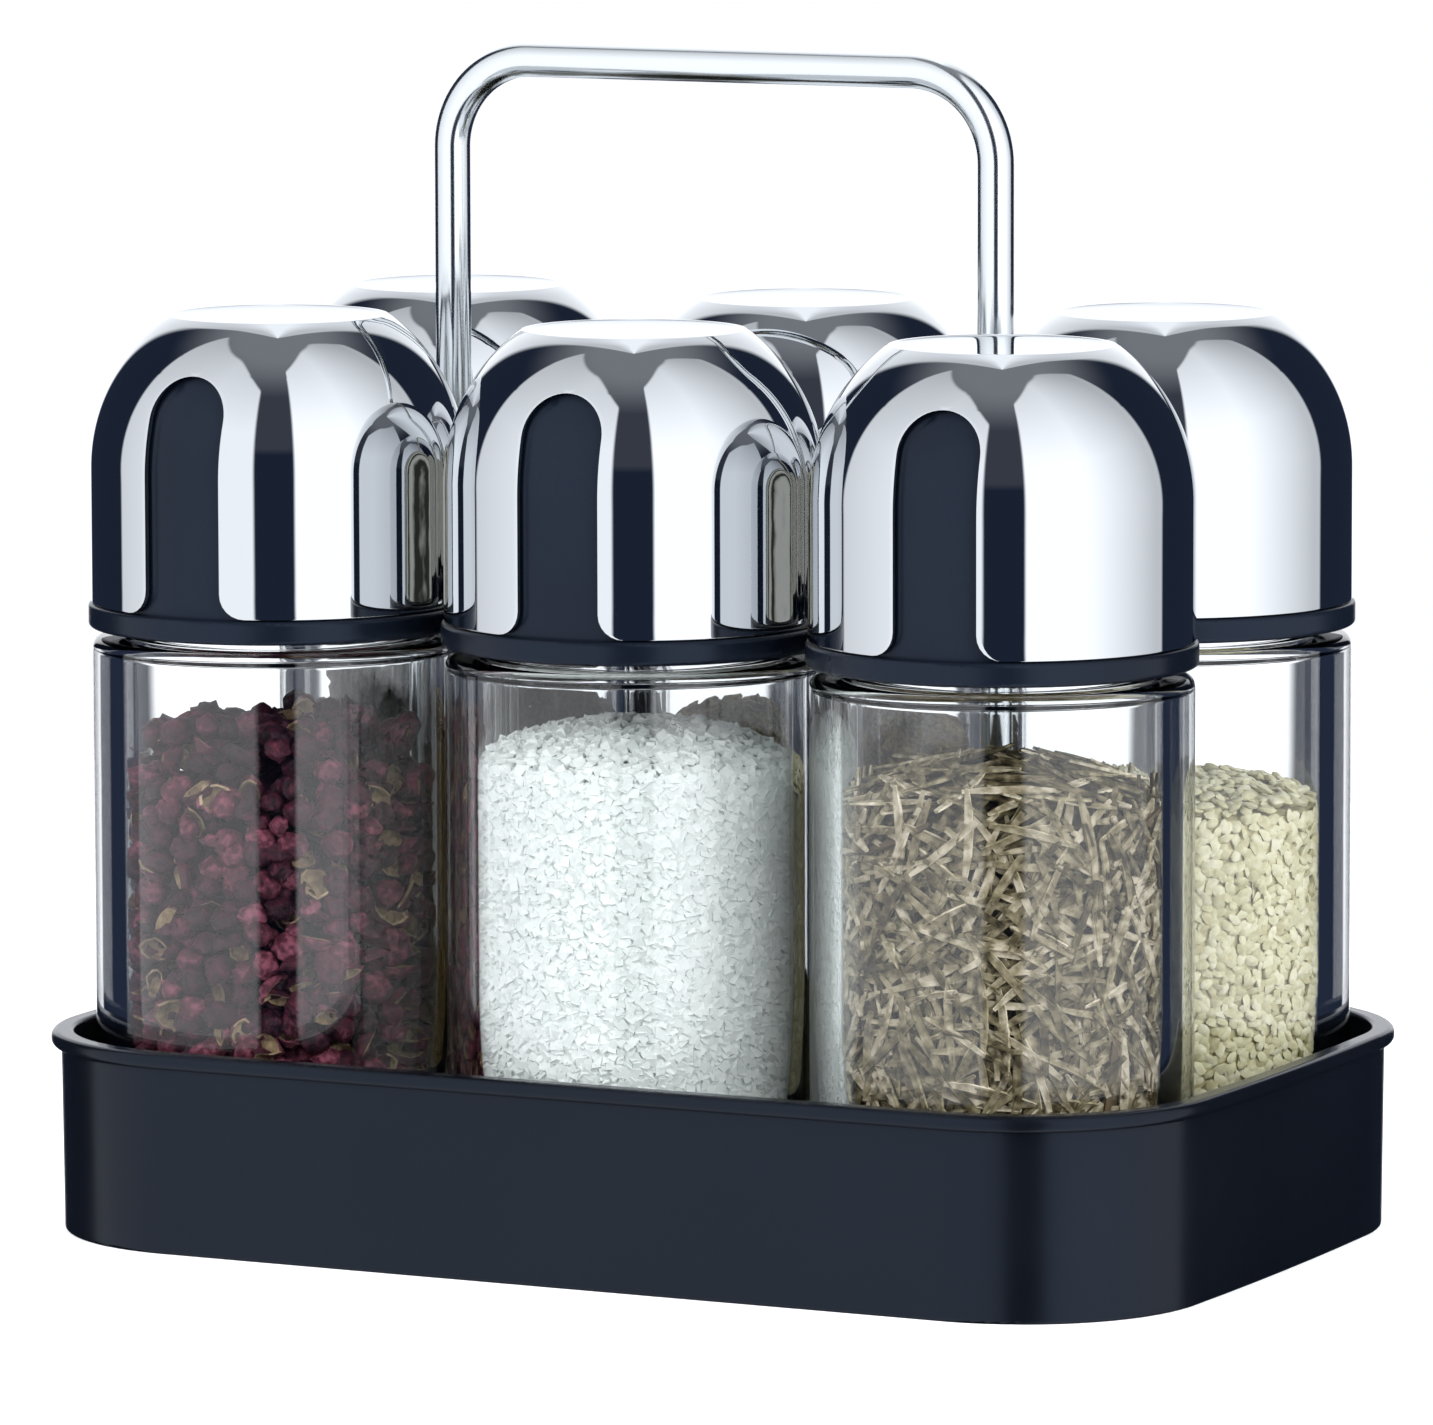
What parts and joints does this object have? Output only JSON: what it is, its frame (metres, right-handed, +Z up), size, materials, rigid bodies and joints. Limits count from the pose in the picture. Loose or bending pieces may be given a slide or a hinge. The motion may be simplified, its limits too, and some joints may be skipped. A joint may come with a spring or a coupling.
{
  "type": "spice rack",
  "caption": "Tabletop spice rack: a black tray with a bent-rod carrying handle holds glass jars with threaded caps and turning chrome dome shells.",
  "frame": {"origin": "on the table, under the middle of the tray", "axes": "+X along a row of jars, +Y from the front row to the back row, +Z up"},
  "size_m": [0.175, 0.114, 0.1647],
  "materials": {
    "tray_abs": "satin black moulded ABS",
    "handle_chrome": "bright chrome-plated steel rod",
    "zinc_steel": "bright zinc-plated steel",
    "clear_glass": "clear pressed soda-lime glass",
    "silicone": "translucent silicone",
    "cap_abs": "satin black moulded ABS",
    "shell_chrome": "mirror chrome"
  },
  "bodies": {
    "rack": {"tray": "tray_abs", "handle": "handle_chrome", "handle_washer_left": "zinc_steel", "handle_screw_left": "zinc_steel", "handle_washer_right": "zinc_steel", "handle_screw_right": "zinc_steel"},
    "jar_front_left": {"glass_jar_front_left": "clear_glass"},
    "seal_front_left": {"seal_ring_front_left": "silicone"},
    "cap_front_left": {"cap_base_front_left": "cap_abs"},
    "shell_front_left": {"chrome_shell_front_left": "shell_chrome", "pivot_washer_front_left": "zinc_steel", "pivot_screw_front_left": "zinc_steel"},
    "jar_front_middle": {"glass_jar_front_middle": "clear_glass"},
    "seal_front_middle": {"seal_ring_front_middle": "silicone"},
    "cap_front_middle": {"cap_base_front_middle": "cap_abs"},
    "shell_front_middle": {"chrome_shell_front_middle": "shell_chrome", "pivot_washer_front_middle": "zinc_steel", "pivot_screw_front_middle": "zinc_steel"},
    "jar_front_right": {"glass_jar_front_right": "clear_glass"},
    "seal_front_right": {"seal_ring_front_right": "silicone"},
    "cap_front_right": {"cap_base_front_right": "cap_abs"},
    "shell_front_right": {"chrome_shell_front_right": "shell_chrome", "pivot_washer_front_right": "zinc_steel", "pivot_screw_front_right": "zinc_steel"},
    "jar_back_left": {"glass_jar_back_left": "clear_glass"},
    "seal_back_left": {"seal_ring_back_left": "silicone"},
    "cap_back_left": {"cap_base_back_left": "cap_abs"},
    "shell_back_left": {"chrome_shell_back_left": "shell_chrome", "pivot_washer_back_left": "zinc_steel", "pivot_screw_back_left": "zinc_steel"},
    "jar_back_middle": {"glass_jar_back_middle": "clear_glass"},
    "seal_back_middle": {"seal_ring_back_middle": "silicone"},
    "cap_back_middle": {"cap_base_back_middle": "cap_abs"},
    "shell_back_middle": {"chrome_shell_back_middle": "shell_chrome", "pivot_washer_back_middle": "zinc_steel", "pivot_screw_back_middle": "zinc_steel"},
    "jar_back_right": {"glass_jar_back_right": "clear_glass"},
    "seal_back_right": {"seal_ring_back_right": "silicone"},
    "cap_back_right": {"cap_base_back_right": "cap_abs"},
    "shell_back_right": {"chrome_shell_back_right": "shell_chrome", "pivot_washer_back_right": "zinc_steel", "pivot_screw_back_right": "zinc_steel"}
  },
  "joints": [
    {"name": "jar_lift_front_left", "type": "slide", "parent": "rack", "child": "jar_front_left", "axis": [0, 0, 1], "range_m": [0, 0.14]},
    {"name": "cap_rise_front_left", "type": "slide", "parent": "jar_front_left", "child": "seal_front_left", "axis": [0, 0, 1], "range_m": [0, 0.00601]},
    {"name": "cap_unscrew_front_left", "type": "hinge", "parent": "seal_front_left", "child": "cap_front_left", "pos_m": [-0.0552, -0.027, 0.0847], "axis": [0, 0, 1], "range_deg": [0, 540]},
    {"name": "shell_turn_front_left", "type": "hinge", "parent": "cap_front_left", "child": "shell_front_left", "pos_m": [-0.0552, -0.027, 0.1203], "axis": [0, 0, 1], "range_deg": [-120, 120]},
    {"name": "jar_lift_front_middle", "type": "slide", "parent": "rack", "child": "jar_front_middle", "axis": [0, 0, 1], "range_m": [0, 0.038]},
    {"name": "cap_rise_front_middle", "type": "slide", "parent": "jar_front_middle", "child": "seal_front_middle", "axis": [0, 0, 1], "range_m": [0, 0.00601]},
    {"name": "cap_unscrew_front_middle", "type": "hinge", "parent": "seal_front_middle", "child": "cap_front_middle", "pos_m": [0, -0.027, 0.0847], "axis": [0, 0, 1], "range_deg": [0, 540]},
    {"name": "shell_turn_front_middle", "type": "hinge", "parent": "cap_front_middle", "child": "shell_front_middle", "pos_m": [0, -0.027, 0.1203], "axis": [0, 0, 1], "range_deg": [-120, 120]},
    {"name": "jar_lift_front_right", "type": "slide", "parent": "rack", "child": "jar_front_right", "axis": [0, 0, 1], "range_m": [0, 0.14]},
    {"name": "cap_rise_front_right", "type": "slide", "parent": "jar_front_right", "child": "seal_front_right", "axis": [0, 0, 1], "range_m": [0, 0.00601]},
    {"name": "cap_unscrew_front_right", "type": "hinge", "parent": "seal_front_right", "child": "cap_front_right", "pos_m": [0.0552, -0.027, 0.0847], "axis": [0, 0, 1], "range_deg": [0, 540]},
    {"name": "shell_turn_front_right", "type": "hinge", "parent": "cap_front_right", "child": "shell_front_right", "pos_m": [0.0552, -0.027, 0.1203], "axis": [0, 0, 1], "range_deg": [-120, 120]},
    {"name": "jar_lift_back_left", "type": "slide", "parent": "rack", "child": "jar_back_left", "axis": [0, 0, 1], "range_m": [0, 0.14]},
    {"name": "cap_rise_back_left", "type": "slide", "parent": "jar_back_left", "child": "seal_back_left", "axis": [0, 0, 1], "range_m": [0, 0.00601]},
    {"name": "cap_unscrew_back_left", "type": "hinge", "parent": "seal_back_left", "child": "cap_back_left", "pos_m": [-0.0552, 0.027, 0.0847], "axis": [0, 0, 1], "range_deg": [0, 540]},
    {"name": "shell_turn_back_left", "type": "hinge", "parent": "cap_back_left", "child": "shell_back_left", "pos_m": [-0.0552, 0.027, 0.1203], "axis": [0, 0, 1], "range_deg": [-120, 120]},
    {"name": "jar_lift_back_middle", "type": "slide", "parent": "rack", "child": "jar_back_middle", "axis": [0, 0, 1], "range_m": [0, 0.038]},
    {"name": "cap_rise_back_middle", "type": "slide", "parent": "jar_back_middle", "child": "seal_back_middle", "axis": [0, 0, 1], "range_m": [0, 0.00601]},
    {"name": "cap_unscrew_back_middle", "type": "hinge", "parent": "seal_back_middle", "child": "cap_back_middle", "pos_m": [0, 0.027, 0.0847], "axis": [0, 0, 1], "range_deg": [0, 540]},
    {"name": "shell_turn_back_middle", "type": "hinge", "parent": "cap_back_middle", "child": "shell_back_middle", "pos_m": [0, 0.027, 0.1203], "axis": [0, 0, 1], "range_deg": [-120, 120]},
    {"name": "jar_lift_back_right", "type": "slide", "parent": "rack", "child": "jar_back_right", "axis": [0, 0, 1], "range_m": [0, 0.14]},
    {"name": "cap_rise_back_right", "type": "slide", "parent": "jar_back_right", "child": "seal_back_right", "axis": [0, 0, 1], "range_m": [0, 0.00601]},
    {"name": "cap_unscrew_back_right", "type": "hinge", "parent": "seal_back_right", "child": "cap_back_right", "pos_m": [0.0552, 0.027, 0.0847], "axis": [0, 0, 1], "range_deg": [0, 540]},
    {"name": "shell_turn_back_right", "type": "hinge", "parent": "cap_back_right", "child": "shell_back_right", "pos_m": [0.0552, 0.027, 0.1203], "axis": [0, 0, 1], "range_deg": [-120, 120]}
  ],
  "couplings": [
    {"joint": "cap_rise_front_left", "follows": "cap_unscrew_front_left", "m_per_rad": 0.00063662},
    {"joint": "cap_rise_front_middle", "follows": "cap_unscrew_front_middle", "m_per_rad": 0.00063662},
    {"joint": "cap_rise_front_right", "follows": "cap_unscrew_front_right", "m_per_rad": 0.00063662},
    {"joint": "cap_rise_back_left", "follows": "cap_unscrew_back_left", "m_per_rad": 0.00063662},
    {"joint": "cap_rise_back_middle", "follows": "cap_unscrew_back_middle", "m_per_rad": 0.00063662},
    {"joint": "cap_rise_back_right", "follows": "cap_unscrew_back_right", "m_per_rad": 0.00063662}
  ]
}
